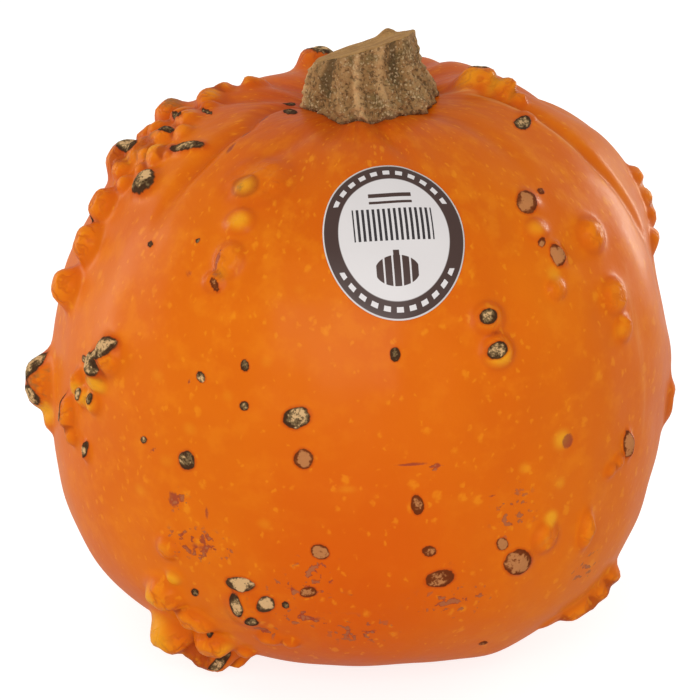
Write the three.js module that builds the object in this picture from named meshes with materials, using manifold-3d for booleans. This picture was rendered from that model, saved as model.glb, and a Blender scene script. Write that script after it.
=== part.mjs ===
import * as THREE from 'three';
import { mergeVertices } from 'three/addons/utils/BufferGeometryUtils.js';
import Module from 'manifold-3d';

// A warty pumpkin resting on its flattened underside, in millimetres, +Z up, its fuller warts toward -Y
// and -X. Places on the rind are a bearing and a height angle, in degrees, seen from the centre of the
// widest level: bearing 0 is the front (-Y), +90 the right (+X), and height angle 90 is the top.

// Overall size of the fruit
const bodyRadius = 74.5;
const topHeight = 72;
const bottomHeight = 62.6;
const topFullness = 2.5;
const bottomFullness = 2.9;
const footCut = 0.9;
const centreHeight = bottomHeight - footCut;
const rindDetail = 11;

// Hollow around the stem
const hollowDepth = 5.6;
const hollowReach = 17;

// Broad swellings (positive) and flats (negative): bearing, height angle, height in mm, reach in degrees
const swellings = [
  [120, 50, 5.4, 27],
  [84, -24, -2.6, 20],
  [-76, 29, -2.6, 18],
  [96, 0, 1.2, 14],
  [113, 52.5, -4.4, 9],
  [128, 59, -1.4, 8],
  [91, 18, -3.2, 8],
  [82, 22, -0.8, 7],
  [-104, 34, -2.2, 9],
  [155, 60, 1.6, 9],
  [36, -47, 1.4, 8],
];

// Creases between the ribs: height angles and bearings along each, depth and half width in mm, lowest angle
const creases = [
  {
    angles: [5, 30, 45, 55, 62, 69, 75],
    bearings: [88, 79, 77.5, 80, 84, 91, 98],
    depth: 1.3,
    half: 2.8,
    lowest: 22,
  },
  { angles: [20, 51, 56, 65, 76], bearings: [-50, -52, -53, -56, -80], depth: 1.8, half: 3.0, lowest: 35 },
  { angles: [20, 51, 59, 69], bearings: [20, 19, 16, 11], depth: 1.2, half: 2.6, lowest: 50 },
  { angles: [20, 68], bearings: [-16, -13], depth: 1.0, half: 2.6, lowest: 55 },
  { angles: [20, 50, 59, 70], bearings: [-31, -36, -30, -22], depth: 0.8, half: 3.0, lowest: 42 },
  { angles: [20, 70], bearings: [47, 52], depth: 0.8, half: 3.0, lowest: 45 },
  { angles: [0, 80], bearings: [-95, -100], depth: 1.6, half: 4.0, lowest: 15 },
  { angles: [0, 80], bearings: [-135, -130], depth: 1.8, half: 4.0, lowest: 5 },
  { angles: [0, 80], bearings: [-168, -165], depth: 1.6, half: 4.0, lowest: 5 },
  { angles: [0, 80], bearings: [150, 150], depth: 1.8, half: 4.0, lowest: 5 },
  { angles: [0, 80], bearings: [122, 130], depth: 1.4, half: 4.0, lowest: 10 },
];
const creaseFade = 18;

// Warts by place: bearing, height angle, half width, half length up the rind, height, turn to the right
const topWarts = [
  [-164, 62, 5, 6, 6.2, 0],
  [98, 69, 4.4, 5, 4.8, 0],
  [92.6, 64.4, 3.6, 3, 3.8, 0],
  [87.4, 61.6, 2.4, 2, 1.8, 0],
  [75.5, 59, 2.4, 2.2, 1, 0],
];
const leftCrestWarts = [
  [-121.5, 67, 3.6, 3, 2.4, 0],
  [-103, 61, 4.8, 3.4, 3, 0],
  [-106, 52.5, 4.6, 4, 3.6, 0],
  [-85, 58, 4.4, 3.4, 2.4, 0],
  [-80, 52.5, 4.4, 4, 2.8, 0],
  [-62.5, 54.4, 2.4, 5.4, 1.2, -55],
  [-88, 44.5, 4.4, 5.4, 4.4, 0],
  [-83, 48, 3.6, 4.6, 3, 0],
  [-71.5, 50, 3, 3.4, 2.6, 0],
  [-73, 46.5, 2.4, 2.2, 1.8, 0],
  [-75, 42.5, 2.4, 2.4, 2.2, 0],
  [-65, 45, 4, 5, 2.4, -80],
  [-95, 56.5, 3.6, 3.4, 2.8, 0],
  [-97, 49, 3.6, 3.6, 3.2, 0],
  [-74, 56, 3, 2.6, 1.8, 0],
  [-91, 52, 3, 3, 2.6, 0],
  [-78, 49, 2.4, 2.6, 2.4, 0],
  [-68, 52, 2.2, 2.4, 1.6, 0],
  [-113, 62, 3.2, 2.6, 2.4, 0],
  [-92, 62, 3, 2.4, 1.8, 0],
  [-82, 43.5, 3, 3, 2.8, 0],
];
const leftWarts = [
  [-77.5, 37, 4.2, 4.4, 4.2, 0],
  [-74, 30.5, 4.2, 4.8, 4.8, 0],
  [-75.5, 21.5, 4.4, 5, 5.4, 0],
  [-84.5, 0.5, 6, 7, 6.4, 0],
  [-82, -5.5, 3.6, 3.6, 2.2, 0],
  [-52, 15.6, 4.2, 4.6, 3, 0],
  [-55.4, 12.8, 3.8, 4, 3, 0],
  [-55.6, 9.8, 3.6, 2.3, 2.1, 0],
  [-59.8, 5.8, 2.6, 2.6, 1.9, 0],
  [-56, 5.8, 2.6, 2.6, 1.9, 0],
  [-62.4, 7.6, 2, 3.4, 2.2, 0],
  [-66, 1, 3, 4.4, 3, 0],
  [-64.5, -3, 2.2, 2.4, 2, 0],
  [-58.8, -4.2, 1.8, 2.6, 1.2, 0],
];
const frontLeftWarts = [
  [-29, 52, 8.5, 7.5, 1.5, 0],
  [-31, 50, 3.4, 3, 1.4, 0],
  [-28.5, 43.5, 3.8, 3.3, 1.6, 0],
  [-28, 36.5, 3.6, 4.2, 2, 0],
  [-30, 32.5, 2.8, 2.6, 1.4, 0],
];
const lowerLeftWarts = [
  [-37, -16.5, 3.2, 2.8, 1.6, 0],
  [-37, -22.5, 2.1, 2, 1.2, 0],
  [-40.5, -27, 5.2, 4.2, 4.6, 0],
  [-35.5, -32, 5.4, 3, 3.4, -20],
  [-46.5, -39.5, 6.2, 5, 7, 0],
  [-34.5, -39, 5, 3.8, 5, 0],
  [-42, -43.2, 4, 3.4, 6, 0],
  [-39, -45.5, 5.4, 4.2, 6.8, 0],
  [-36.5, -49.5, 3, 2.4, 4.6, 0],
  [-28, -41.5, 3, 2.2, 2, 0],
  [-22, -26.5, 5, 6, 1.6, 0],
  [-19, -34, 3.2, 2.2, 1.6, 0],
  [-14.5, -34.5, 2.1, 2, 1.4, 0],
];
const rightWarts = [
  [24.5, 27, 3.8, 3.6, 2, 0],
  [25.5, 21.5, 3.8, 3.8, 2.4, 0],
  [44, 45.5, 2.8, 3.4, 1, 0],
  [44.5, 35, 2.2, 3, 1.2, 0],
  [41.5, 40, 3.4, 2.8, 1.2, 0],
  [41, 29.5, 2.6, 2.4, 1.6, 0],
  [56, 36, 4.4, 4, 2.6, 0],
  [56, 25, 4.2, 4, 2.4, 0],
  [57, 19, 3, 3, 1.8, 0],
  [97, 35.5, 2.6, 2.8, 2.2, 0],
  [95, 32, 2.6, 3, 2.2, 0],
  [93.5, 29, 2.6, 2.8, 2, 0],
  [89, 26, 2.6, 3.4, 2.2, 0],
  [85.5, -3.5, 2.6, 6, 1.8, 0],
];
const lowerRightWarts = [
  [30, -18, 3.6, 3, 1, 0],
  [35, -14, 3.6, 4, 1.6, 0],
  [45, -15, 2.2, 4.8, 2.2, 0],
  [57, -2.5, 1.4, 3.4, 1.6, 0],
  [53.5, -4.5, 2, 1.8, 1.4, 0],
  [51, -5.5, 2, 1.8, 1.2, 0],
  [49, -38.4, 4, 2.4, 1, 15],
  [55.5, -36.8, 5.4, 3, 3, 22],
  [61, -35, 5.4, 3.4, 3.8, 30],
  [65, -32.4, 3.4, 3.4, 3.2, 0],
];

// How far a wart's middle lies under the rind, as a part of its height, and how much its foot is widened
const wartSink = 0.8;
const wartSpread = 1.12;

// Half width and half length together, in mm, under and over which a wart has fewer and more faces
const smallWartSize = 5.6;
const largeWartSize = 12;

// Clusters on the far side, each a few warts about a centre
const backClusters = [
  [-150, 30],
  [-125, 5],
  [170, 40],
  [150, 5],
  [-165, -15],
  [118, 18],
  [135, -25],
];
const wartsInBackCluster = 3;
const backClusterSpread = 8;
const backSeed = 41;

// Woody stem
const stemCentreX = 2.8;
const stemCentreY = -2;
const stemFootRadius = 16.4;
const stemWaistRadius = 12.8;
const stemTopRadius = 11.8;
const stemFlareHeight = 7;
const stemRidges = 10;
const stemRidgeDepth = 1.3;
const cutLeftRise = 79;
const cutRightRise = 86.5;
const cutLeftX = -10;
const cutRightX = 14;
const cutBackwardTilt = 9;
const stemGap = 0.3;

// Paper label
const labelBearing = 7.5;
const labelAngle = 42.5;
const labelHalfWidth = 16.3;
const labelHalfLength = 20.4;
const labelGap = 0.3;
const labelThickness = 0.5;

const degree = Math.PI / 180;
const wasm = await Module();
wasm.setup();

function direction(bearing, angle) {
  return new THREE.Vector3(
    Math.cos(angle * degree) * Math.sin(bearing * degree),
    -Math.cos(angle * degree) * Math.cos(bearing * degree),
    Math.sin(angle * degree),
  );
}

function between(value, marks, levels) {
  if (value <= marks[0]) return levels[0];
  for (let i = 1; i < marks.length; i += 1) {
    if (value <= marks[i]) {
      return THREE.MathUtils.mapLinear(value, marks[i - 1], marks[i], levels[i - 1], levels[i]);
    }
  }
  return levels[levels.length - 1];
}

// Distance from the centre to the rind without swellings: a superellipse turned about the upright axis
function roundedRadius(angle) {
  const height = angle > 0 ? topHeight : bottomHeight;
  const fullness = angle > 0 ? topFullness : bottomFullness;
  const out = Math.abs(Math.cos(angle * degree)) / bodyRadius;
  const up = Math.abs(Math.sin(angle * degree)) / height;
  const hollow = hollowDepth * Math.exp(-(((90 - angle) / hollowReach) ** 2));
  return (out ** fullness + up ** fullness) ** (-1 / fullness) - hollow;
}

function creaseDepth(crease, bearing, angle, radius) {
  const turn = bearing - between(angle, crease.angles, crease.bearings);
  const wrapped = ((turn + 540) % 360) - 180;
  const aside = wrapped * degree * Math.cos(angle * degree) * radius;
  const fade = THREE.MathUtils.smoothstep(angle, crease.lowest, crease.lowest + creaseFade);
  return crease.depth * fade * Math.exp(-((aside / crease.half) ** 2));
}

function rindRadius(unit) {
  const angle = Math.asin(THREE.MathUtils.clamp(unit.z, -1, 1)) / degree;
  const bearing = Math.atan2(unit.x, -unit.y) / degree;
  let radius = roundedRadius(angle);
  for (const [swellBearing, swellAngle, height, reach] of swellings) {
    const apart = unit.angleTo(direction(swellBearing, swellAngle)) / degree;
    radius += height * Math.exp(-((apart / reach) ** 2));
  }
  let depth = 0;
  for (const crease of creases) {
    depth += creaseDepth(crease, bearing, angle, radius);
  }
  return radius - depth;
}

function solidOf(geometry) {
  geometry.deleteAttribute('normal');
  geometry.deleteAttribute('uv');
  const merged = mergeVertices(geometry, 1e-4);
  return new wasm.Manifold(
    new wasm.Mesh({
      numProp: 3,
      vertProperties: new Float32Array(merged.attributes.position.array),
      triVerts: new Uint32Array(merged.index.array),
    }),
  );
}

function geometryOf(solid) {
  const mesh = solid.getMesh();
  const geometry = new THREE.BufferGeometry();
  geometry.setAttribute('position', new THREE.BufferAttribute(new Float32Array(mesh.vertProperties), 3));
  geometry.setIndex(new THREE.BufferAttribute(new Uint32Array(mesh.triVerts), 1));
  geometry.computeVertexNormals();
  return geometry;
}

// The smooth rind as a ball whose points are moved out to the rind, plus a clearance
function rindSolid(clearance) {
  const ball = new THREE.IcosahedronGeometry(1, rindDetail);
  const points = ball.attributes.position;
  const unit = new THREE.Vector3();
  for (let i = 0; i < points.count; i += 1) {
    unit.fromBufferAttribute(points, i).normalize();
    const radius = rindRadius(unit) + clearance;
    points.setXYZ(i, unit.x * radius, unit.y * radius, unit.z * radius + centreHeight);
  }
  return solidOf(ball);
}

// A wart: the cap of a rounded lump whose middle lies well under the rind, so that its flanks slant
function wartSolid([bearing, angle, halfWidth, halfLength, height, turn]) {
  const tall = height * (1 + wartSink);
  const wider = wartSpread / Math.sqrt(1 - (wartSink / (1 + wartSink)) ** 2);
  const out = direction(bearing, angle);
  const up = direction(bearing, angle + 90);
  const aside = new THREE.Vector3().crossVectors(up, out);
  const size = halfWidth + halfLength;
  const detail = size > largeWartSize ? 2 : 1;
  const lump = size < smallWartSize
    ? new THREE.OctahedronGeometry(1, 1)
    : new THREE.IcosahedronGeometry(1, detail);
  lump.scale(halfWidth * wider, halfLength * wider, tall);
  lump.rotateZ(turn * degree);
  lump.applyMatrix4(new THREE.Matrix4().makeBasis(aside, up, out));
  const place = out.multiplyScalar(rindRadius(out) - height * wartSink);
  lump.translate(place.x, place.y, place.z + centreHeight);
  return solidOf(lump);
}

// Even numbers between 0 and 1 that come out the same each time
function seededDraw(seed) {
  let state = seed;
  return () => {
    state = (state * 16807) % 2147483647;
    return state / 2147483647;
  };
}

function backWarts() {
  const draw = seededDraw(backSeed);
  const warts = [];
  for (const [bearing, angle] of backClusters) {
    for (let i = 0; i < wartsInBackCluster; i += 1) {
      const half = 2.4 + 2.4 * draw();
      const aside = (draw() * 2 - 1) * backClusterSpread;
      const along = (draw() * 2 - 1) * backClusterSpread;
      warts.push([bearing + aside, angle + along, half, half * (0.8 + 0.4 * draw()), half * 0.7, 0]);
    }
  }
  return warts;
}

function makeFruit() {
  const warts = [
    ...topWarts,
    ...leftCrestWarts,
    ...leftWarts,
    ...frontLeftWarts,
    ...lowerLeftWarts,
    ...rightWarts,
    ...lowerRightWarts,
    ...backWarts(),
  ];
  let fruit = rindSolid(0);
  for (const wart of warts) {
    fruit = fruit.add(wartSolid(wart));
  }
  const wide = bodyRadius * 3;
  const ground = solidOf(new THREE.BoxGeometry(wide, wide, wide).translate(0, 0, -wide / 2));
  return fruit.subtract(ground);
}

// Radius of the stem at a height above its foot and a turn around it: a flared foot, a waist and ridges
function stemRadius(rise, turn) {
  const flare = (stemFootRadius - stemWaistRadius) * Math.exp(-((rise / stemFlareHeight) ** 2));
  const narrowing = (stemWaistRadius - stemTopRadius) * THREE.MathUtils.smoothstep(rise, 4, 20);
  const ridge = stemRidgeDepth * (0.5 + 0.5 * Math.cos(turn * stemRidges)) ** 0.7;
  return stemWaistRadius + flare - narrowing + ridge - stemRidgeDepth * 0.6;
}

function stemBlank() {
  const around = 80;
  const levels = [-8, -3, 0, 2, 4, 6, 8, 11, 15, 20];
  const points = [];
  const faces = [];
  const footLevel = 67 + centreHeight;
  for (const rise of levels) {
    for (let i = 0; i < around; i += 1) {
      const turn = (i / around) * 2 * Math.PI;
      const radius = stemRadius(Math.max(rise, 0), turn);
      const x = stemCentreX + radius * Math.cos(turn);
      const y = stemCentreY + radius * Math.sin(turn);
      points.push(x, y, footLevel + rise);
    }
  }
  const bottom = points.length / 3;
  points.push(stemCentreX, stemCentreY, footLevel + levels[0]);
  const top = bottom + 1;
  points.push(stemCentreX, stemCentreY, footLevel + levels[levels.length - 1]);
  for (let i = 0; i < around; i += 1) {
    const next = (i + 1) % around;
    for (let level = 0; level < levels.length - 1; level += 1) {
      const low = level * around;
      const high = low + around;
      faces.push(low + i, low + next, high + next, low + i, high + next, high + i);
    }
    const last = (levels.length - 1) * around;
    faces.push(bottom, next, i, top, last + i, last + next);
  }
  const geometry = new THREE.BufferGeometry();
  geometry.setAttribute('position', new THREE.Float32BufferAttribute(points, 3));
  geometry.setIndex(faces);
  return solidOf(geometry);
}

// What the sloping cut took off the stem's top: it rises to the right and a little toward the front
function cutAway() {
  const block = new THREE.BoxGeometry(80, 80, 40).translate(0, 0, 20);
  const slope = Math.atan2(cutRightRise - cutLeftRise, cutRightX - cutLeftX);
  block.rotateX(-cutBackwardTilt * degree);
  block.rotateY(-slope);
  block.translate(
    (cutLeftX + cutRightX) / 2,
    stemCentreY,
    (cutLeftRise + cutRightRise) / 2 + centreHeight,
  );
  return solidOf(block);
}

function makeStem(clearRind) {
  return stemBlank().subtract(cutAway()).subtract(clearRind);
}

// An oval die cut straight down onto the rind, kept as a thin skin over it
function makeLabel(clearRind) {
  const out = direction(labelBearing, labelAngle);
  const up = direction(labelBearing, labelAngle + 90);
  const aside = new THREE.Vector3().crossVectors(up, out);
  const die = new THREE.CylinderGeometry(1, 1, 40, 72).rotateX(Math.PI / 2);
  die.scale(labelHalfWidth, labelHalfLength, 1);
  die.applyMatrix4(new THREE.Matrix4().makeBasis(aside, up, out));
  const place = out.multiplyScalar(rindRadius(out));
  die.translate(place.x, place.y, place.z + centreHeight);
  return solidOf(die).intersect(rindSolid(labelGap + labelThickness)).subtract(clearRind);
}

function named(name, solid, colour, roughness) {
  const material = new THREE.MeshStandardMaterial({ color: colour, roughness, metalness: 0 });
  const mesh = new THREE.Mesh(geometryOf(solid), material);
  mesh.name = name;
  return mesh;
}

const clearRind = rindSolid(labelGap);
const pumpkin = new THREE.Group();
pumpkin.name = 'warty_pumpkin';
pumpkin.add(named('fruit', makeFruit(), 0xe0700f, 0.32));
pumpkin.add(named('stem', makeStem(clearRind), 0xaa875a, 0.85));
pumpkin.add(named('label', makeLabel(clearRind), 0xe4e0e2, 0.5));

export default pumpkin;
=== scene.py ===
import bpy
import numpy as np
from mathutils import Matrix, Vector


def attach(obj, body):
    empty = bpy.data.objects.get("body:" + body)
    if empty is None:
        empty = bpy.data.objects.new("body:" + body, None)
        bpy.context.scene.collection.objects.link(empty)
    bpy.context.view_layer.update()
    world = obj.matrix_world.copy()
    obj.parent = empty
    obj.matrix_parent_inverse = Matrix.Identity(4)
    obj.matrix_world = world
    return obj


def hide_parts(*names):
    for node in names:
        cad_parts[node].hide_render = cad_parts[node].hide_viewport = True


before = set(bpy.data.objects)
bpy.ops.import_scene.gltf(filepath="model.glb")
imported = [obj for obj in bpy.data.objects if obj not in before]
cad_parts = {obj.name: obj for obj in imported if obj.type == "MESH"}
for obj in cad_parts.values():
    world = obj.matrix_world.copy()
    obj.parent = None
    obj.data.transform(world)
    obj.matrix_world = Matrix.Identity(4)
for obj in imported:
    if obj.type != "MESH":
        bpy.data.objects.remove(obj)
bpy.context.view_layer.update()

print("frame loaded")

# Every length below is in millimetres and is turned into metres when a mesh is made. A place on the rind is a
# bearing and a height angle, in degrees, from the fruit's centre: bearing 0 is the front, bearing 90 the right
# and height angle 90 the top.
mm = 0.001

rind = {
    "bodyRadius": 74.5,
    "topHeight": 72.0,
    "bottomHeight": 62.6,
    "topFullness": 2.5,
    "bottomFullness": 2.9,
    "footCut": 0.9,
    "hollowDepth": 5.6,
    "hollowReach": 17.0,
    "gridAcross": 126,  # squares along each edge of the six-sided grid
    "frontDraw": 1.3,  # how far the grid's points are drawn toward the side that is seen most
    "seenFrom": 19.0,  # height angle of that side
    "undulation": 0.22,
    "undulationWave": 17,
    "undulationSeed": 3,
    "creaseFade": 18.0,
    "meanRadius": 70,
    "grainAround": 62,  # size of the coordinates that flecks and streaks follow, around and up the rind
    "grainUp": 75,
}
rind["centreHeight"] = rind["bottomHeight"] - rind["footCut"]

swellings = [  # bearing, height angle, height, reach in degrees
    (120, 50, 5.4, 27),
    (84, -24, -2.6, 20),
    (-76, 29, -2.6, 18),
    (96, 0, 1.2, 14),
    (113, 52.5, -4.4, 9),
    (128, 59, -1.4, 8),
    (91, 18, -3.2, 8),
    (82, 22, -0.8, 7),
    (-104, 34, -2.2, 9),
    (155, 60, 1.6, 9),
    (36, -47, 1.4, 8),
]

creases = [  # height angles, bearings along them, depth, half width, lowest angle
    ((5, 30, 45, 55, 62, 69, 75), (88, 79, 77.5, 80, 84, 91, 98), 1.3, 2.2, 22),
    ((20, 51, 56, 65, 76), (-50, -52, -53, -56, -80), 1.8, 2.4, 35),
    ((20, 51, 59, 69), (20, 19, 16, 11), 1.2, 2.4, 50),
    ((20, 68), (-16, -13), 1.0, 2.4, 55),
    ((20, 50, 59, 70), (-31, -36, -30, -22), 0.8, 3.0, 42),
    ((20, 70), (47, 52), 0.8, 3.0, 45),
    ((0, 80), (-95, -100), 1.6, 4.0, 15),
    ((0, 80), (-135, -130), 1.8, 4.0, 5),
    ((0, 80), (-168, -165), 1.6, 4.0, 5),
    ((0, 80), (150, 150), 1.8, 4.0, 5),
    ((0, 80), (122, 130), 1.4, 4.0, 10),
]

# Lines of painted highlight along the crests of folds
foldCrests = [  # height angles, bearings along them, half width, strength, lowest and highest angle
    ((10, 30.7, 39, 47.8, 55, 58.9, 62.8, 66, 69, 71.8, 74.6),
     (82, 78, 78, 76, 76.9, 78.2, 79.5, 81.9, 85.8, 88.4, 91.9), 1.0, 1, 12, 77),
    ((-6, 3, 11, 19, 24, 29), (62.5, 63.4, 62.7, 62.1, 61.9, 63.6), 1.1, 0.5, -10, 32),
]

# Warts: bearing, height angle, half width, half length, height, turn in degrees
warts = {
    "top": [
        (-164, 62, 5, 6, 6.2, 0), (98, 69, 4.4, 5, 4.8, 0), (92.6, 64.4, 3.6, 3, 3.8, 0),
        (87.4, 61.6, 2.4, 2, 1.8, 0), (75.5, 59, 2.4, 2.2, 1, 0),
    ],
    "leftCrest": [
        (-121.5, 67, 3.6, 3, 2.4, 0), (-103, 61, 4.8, 3.4, 3, 0), (-106, 52.5, 4.6, 4, 3.6, 0),
        (-85, 58, 4.4, 3.4, 2.4, 0), (-80, 52.5, 4.4, 4, 2.8, 0), (-62.5, 54.4, 2.4, 5.4, 1.2, -55),
        (-88, 44.5, 4.4, 5.4, 4.4, 0), (-83, 48, 3.6, 4.6, 3, 0), (-71.5, 50, 3, 3.4, 2.6, 0),
        (-73, 46.5, 2.4, 2.2, 1.8, 0), (-75, 42.5, 2.4, 2.4, 2.2, 0), (-65, 45, 4, 5, 2.4, -80),
        (-95, 56.5, 3.6, 3.4, 2.8, 0), (-97, 49, 3.6, 3.6, 3.2, 0), (-74, 56, 3, 2.6, 1.8, 0),
        (-91, 52, 3, 3, 2.6, 0), (-78, 49, 2.4, 2.6, 2.4, 0), (-68, 52, 2.2, 2.4, 1.6, 0),
        (-113, 62, 3.2, 2.6, 2.4, 0), (-92, 62, 3, 2.4, 1.8, 0), (-82, 43.5, 3, 3, 2.8, 0),
    ],
    "left": [
        (-77.5, 37, 4.2, 4.4, 4.2, 0), (-74, 30.5, 4.2, 4.8, 4.8, 0), (-75.5, 21.5, 4.4, 5, 5.4, 0),
        (-84.5, 0.5, 6, 7, 6.4, 0), (-82, -5.5, 3.6, 3.6, 2.2, 0), (-52, 15.6, 4.2, 4.6, 3, 0),
        (-55.4, 12.8, 3.8, 4, 3, 0), (-55.6, 9.8, 3.6, 2.3, 2.1, 0), (-59.8, 5.8, 2.6, 2.6, 1.9, 0),
        (-56, 5.8, 2.6, 2.6, 1.9, 0), (-62.4, 7.6, 2, 3.4, 2.2, 0), (-66, 1, 3, 4.4, 3, 0),
        (-64.5, -3, 2.2, 2.4, 2, 0), (-58.8, -4.2, 1.8, 2.6, 1.2, 0),
    ],
    "frontLeft": [
        (-29, 52, 8.5, 7.5, 1.5, 0), (-31, 50, 3.4, 3, 1.4, 0), (-28.5, 43.5, 3.8, 3.3, 1.6, 0),
        (-28, 36.5, 3.6, 4.2, 2, 0), (-30, 32.5, 2.8, 2.6, 1.4, 0),
    ],
    "lowerLeft": [
        (-37, -16.5, 3.2, 2.8, 1.6, 0), (-37, -22.5, 2.1, 2, 1.2, 0), (-40.5, -27, 5.2, 4.2, 4.6, 0),
        (-35.5, -32, 5.4, 3, 3.4, -20), (-46.5, -39.5, 6.2, 5, 7, 0), (-34.5, -39, 5, 3.8, 5, 0),
        (-42, -43.2, 4, 3.4, 6, 0), (-39, -45.5, 5.4, 4.2, 6.8, 0), (-36.5, -49.5, 3, 2.4, 4.6, 0),
        (-28, -41.5, 3, 2.2, 2, 0), (-22, -26.5, 5, 6, 1.6, 0), (-19, -34, 3.2, 2.2, 1.6, 0),
        (-14.5, -34.5, 2.1, 2, 1.4, 0),
    ],
    "right": [
        (24.5, 27, 3.8, 3.6, 2, 0), (25.5, 21.5, 3.8, 3.8, 2.4, 0), (44, 45.5, 2.8, 3.4, 1, 0),
        (44.5, 35, 2.2, 3, 1.2, 0), (41.5, 40, 3.4, 2.8, 1.2, 0), (41, 29.5, 2.6, 2.4, 1.6, 0),
        (56, 36, 4.4, 4, 2.6, 0), (56, 25, 4.2, 4, 2.4, 0), (57, 19, 3, 3, 1.8, 0),
        (97, 35.5, 2.6, 2.8, 2.2, 0), (95, 32, 2.6, 3, 2.2, 0), (93.5, 29, 2.6, 2.8, 2, 0),
        (89, 26, 2.6, 3.4, 2.2, 0), (85.5, -3.5, 2.6, 6, 1.8, 0),
    ],
    "lowerRight": [
        (30, -18, 3.6, 3, 1, 0), (35, -14, 3.6, 4, 1.6, 0), (45, -15, 2.2, 4.8, 2.2, 0),
        (57, -2.5, 1.4, 3.4, 1.6, 0), (53.5, -4.5, 2, 1.8, 1.4, 0), (51, -5.5, 2, 1.8, 1.2, 0),
        (49, -38.4, 4, 2.4, 1, 15), (55.5, -36.8, 5.4, 3, 3, 22), (61, -35, 5.4, 3.4, 3.8, 30),
        (65, -32.4, 3.4, 3.4, 3.2, 0),
    ],
}

wartShape = {
    "fall": 0.25,  # part of its height that the dome loses at its edge
    "footReach": 0.96,
    "footPower": 6,
    "joinPower": 5,
    "lumps": 0.4,  # height of the lumps on a wart that stands at least as high as lumpyFrom
    "lumpyFrom": 2,
    "lumpWave": 4.5,
    "lumpSeed": 5,
    "fullShare": 2.4,  # height from which a wart counts in full as one
}

backClusters = {
    "centres": [(-150, 30), (-125, 5), (170, 40), (150, 5), (-165, -15), (118, 18), (135, -25)],
    "wartsInEach": 3,
    "spread": 8.0,
    "seed": 41,
}

# Scabs: bearing, height angle, half width, half length, turn in degrees, paleness of the middle 0 to 1
darkScabs = {
    "front": [
        (-21, 19.5, 1.1, 1.4, 15, 0.3), (-20.7, 12.7, 1.2, 1.1, 0, 0.3), (-29.6, 16.4, 1.1, 1.4, 40, 0.5),
        (-11.2, 11.5, 2.4, 3.2, -65, 0.5), (-32, 1, 2.2, 2.4, -30, 0.35), (6.2, 22.5, 1.2, 1.6, 0, 0.2),
        (-14, -24.3, 0.9, 1.1, 0, 0.3), (23.9, 27.2, 1.7, 2.1, -83, 0.35), (24.8, 21.6, 1.8, 2.4, -85, 0.4),
    ],
    "lowerLeft": [
        (-22.3, -20.8, 1.9, 3.6, -85, 0.95), (-23.5, -25, 1.7, 3, 4, 0.6), (-17.7, -24.4, 2, 2.4, -32, 0.95),
        (-21, -28.4, 1.6, 2, -25, 0.2), (-32.8, -24.9, 1, 1.5, -39, 0.3), (-33.4, -35.4, 0.9, 1.2, -39, 0.4),
        (-35.6, -44.4, 1.4, 2.6, -60, 0.6), (-30, -43.6, 1, 2, 60, 0.3),
    ],
    "left": [
        (-52.6, 16.6, 2.4, 4.4, -62, 0.75), (-55.6, 13, 2.6, 3.4, 80, 0.6), (-61, 12.4, 1, 1.5, -88, 0.3),
        (-60.2, 6.2, 1.5, 1.6, -70, 0.45), (-56, 6.6, 1.4, 1.4, -74, 0.35), (-67, 1.4, 1.8, 3.4, 0, 0.45),
        (-58.7, -3.8, 1.3, 2.2, -20, 0.8), (-41.6, 2.8, 0.9, 1.2, -60, 0.25), (-84, 3.6, 2.8, 3.2, 0, 0.65),
        (-82.6, -1.2, 2.4, 2.4, -20, 0.8),
    ],
    "leftCrest": [
        (-64.5, 45, 3.3, 3.9, -81, 0.35), (-64, 46, 1.9, 2.6, 86, 1), (-62.3, 54.4, 1.7, 4.8, -55, 0.3),
        (-79.5, 54, 1.4, 2.6, -73, 0.2), (-88, 56.5, 1.1, 4, -70, 0.4), (-86, 47, 2.2, 4.4, -71, 0.5),
        (-77, 33, 1.6, 2, 0, 0.6), (-49.6, 36, 0.8, 1.2, -84, 0.2), (-36.9, 38.7, 0.6, 0.7, 0, 0.2),
        (-84, 61.5, 0.8, 3, -70, 0.4),
    ],
    "top": [
        (-166, 61.5, 3.6, 5, -10, 0.5), (101.5, 69.2, 1.1, 2.4, 0, 0.5),
        (-95, 76, 1.2, 2.2, 70, 0.1), (-57.4, 74.2, 1.6, 3, 73, 0.1), (69.6, 58.9, 1.8, 3, -88, 0.5),
    ],
    "back": [
        (-150, 32, 2, 1.8, 0, 0.4), (151, 4, 1.8, 1.8, 0, 0.3), (-178, 10, 1.6, 1.5, 0, 0.3),
        (-110, -20, 1.6, 2, 0, 0.3), (-165, -14, 1.5, 2.2, 0, 0.3),
    ],
}
brownScabs = {
    "front": [
        (-9.9, 4.2, 2.2, 2.3, 0, 0.8), (-7.1, -12.9, 1.8, 2.1, 70, 0.65), (-9.5, -21, 1.4, 2, -70, 0.35),
        (9.9, -4.3, 1.4, 2.4, 10, 0.25), (12.2, -13.2, 1.4, 1.7, 66, 0.3), (-29.3, 32, 0.9, 1.7, 37, 0.3),
    ],
    "right": [
        (14.4, -18.7, 2.3, 3.4, -80, 0.4), (26, -13.6, 1.4, 1.8, 46, 0.8), (29.5, -17.6, 3, 3.6, 60, 0.65),
        (28.2, -38.2, 1, 1.5, 44, 0.3), (42.6, 45, 2.4, 3, -43, 0.85), (49.4, 46.2, 0.9, 1.2, -70, 0.3),
        (41.2, 37.6, 1, 1.2, -60, 0.75), (43.6, 34.8, 1.7, 2.6, 0, 0.75), (56.2, -2, 1.2, 3.4, 0, 0.7),
    ],
    "back": [
        (168, 41, 2.4, 1.8, 0, 0.6), (-127, 6, 2, 1.6, 0, 0.5), (110, -8, 1.8, 1.6, 0, 0.5),
        (135, -26, 2.4, 2, 0, 0.6),
    ],
}

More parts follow.
